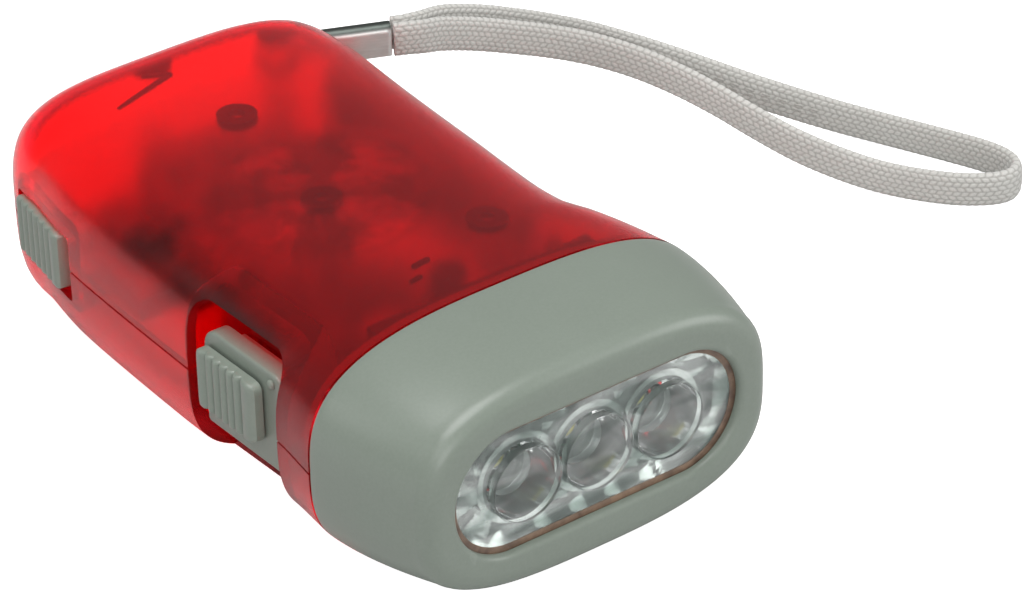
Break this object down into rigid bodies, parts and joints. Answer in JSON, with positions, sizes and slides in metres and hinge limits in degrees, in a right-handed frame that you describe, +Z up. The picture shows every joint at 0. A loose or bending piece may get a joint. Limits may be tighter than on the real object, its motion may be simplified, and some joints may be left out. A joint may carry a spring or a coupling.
{
  "type": "hand-squeezed dynamo flashlight",
  "caption": "Flat palm-size flashlight with a row of lamps, a clear case, a squeeze lever that drives a flywheel generator through gears, two thumb slides and a woven wrist strap.",
  "frame": {"origin": "centre of the underside of the light's own box, without the strap and its crimp, on the surface that it rests on", "axes": "-Y points out of the lens, +X is the side of the squeeze lever, +Z is up"},
  "size_m": [0.1187, 0.0952, 0.0285],
  "materials": {
    "clear_red_plastic": "clear tinted, polished",
    "grey_plastic": "satin moulded",
    "white_nylon": "moulded",
    "black_plastic": "moulded",
    "clear_plastic": "clear acrylic, polished",
    "bright_metal": "bright plated",
    "steel": "plain steel",
    "brass": "turned",
    "ferrite": "sintered magnet",
    "enamelled_copper": "enamelled wire",
    "board_green": "solder mask",
    "tan_lacquer": "lacquered",
    "blue_sleeve": "shrunk sleeve",
    "red_insulation": "flexible insulation",
    "yellow_insulation": "flexible insulation",
    "woven_cord": "woven flat tape"
  },
  "bodies": {
    "case": {"upper_shell": "clear_red_plastic", "lower_shell": "clear_red_plastic", "front_bezel": "grey_plastic", "lens_optic": "clear_plastic", "reflector": "bright_metal", "led_1": "clear_plastic", "led_2": "clear_plastic", "led_3": "clear_plastic", "led_board": "board_green", "drive_board": "board_green", "diode_1": "black_plastic", "diode_2": "black_plastic", "diode_3": "black_plastic", "diode_4": "black_plastic", "capacitor": "blue_sleeve", "resistor": "tan_lacquer", "slide_switch_body": "black_plastic", "switch_plate": "grey_plastic", "lever_pin": "steel", "lever_spring": "steel", "first_axle": "steel", "second_axle": "steel", "rotor_axle": "steel", "stator_core": "steel", "coil_bobbin": "black_plastic", "coil_winding": "enamelled_copper", "cell_1": "bright_metal", "cell_2": "bright_metal", "cell_3": "bright_metal", "contact_left": "brass", "contact_right": "brass", "case_screw_1": "steel", "case_screw_2": "steel", "case_screw_3": "steel", "wire_cell_plus": "red_insulation", "wire_cell_minus": "black_plastic", "wire_switch": "black_plastic", "wire_lamp_plus": "red_insulation", "wire_lamp_minus": "black_plastic", "wire_coil_start": "yellow_insulation", "wire_coil_end": "yellow_insulation", "strap_crimp": "steel", "wrist_strap": "woven_cord"},
    "lever": {"lever": "grey_plastic"},
    "first_gear": {"first_gear": "white_nylon"},
    "second_gear": {"second_gear": "white_nylon"},
    "rotor": {"flywheel": "steel", "flywheel_pinion": "brass", "ring_magnet": "ferrite"},
    "latch": {"lever_latch": "grey_plastic"},
    "switch_slide": {"switch_knob": "grey_plastic"}
  },
  "joints": [
    {"name": "flywheel_spin", "type": "hinge", "parent": "case", "child": "rotor", "pos_m": [-0.004, -0.0019, 0.01425], "axis": [0, 0, 1], "range_deg": [0, 3420]},
    {"name": "lever_swing", "type": "hinge", "parent": "case", "child": "lever", "pos_m": [0.0153, -0.02, 0.01425], "axis": [0, 0, 1], "range_deg": [-25, 0], "deforming": ["lever_spring"]},
    {"name": "first_gear_spin", "type": "hinge", "parent": "case", "child": "first_gear", "pos_m": [-0.00039, 0.02036, 0.01425], "axis": [0, 0, 1], "range_deg": [0, 275]},
    {"name": "second_gear_spin", "type": "hinge", "parent": "case", "child": "second_gear", "pos_m": [0.00647, 0.00724, 0.01425], "axis": [0, 0, 1], "range_deg": [-950, 0]},
    {"name": "latch_slide", "type": "slide", "parent": "case", "child": "latch", "axis": [-0.153, -0.9882, 0], "range_m": [0, 0.0018]},
    {"name": "switch_slide", "type": "slide", "parent": "case", "child": "switch_slide", "axis": [0, -1, 0], "range_m": [0, 0.002]}
  ],
  "couplings": [
    {"joint": "lever_swing", "follows": "flywheel_spin", "ratio": -0.0073099},
    {"joint": "first_gear_spin", "follows": "flywheel_spin", "ratio": 0.080409},
    {"joint": "second_gear_spin", "follows": "flywheel_spin", "ratio": -0.27778}
  ]
}
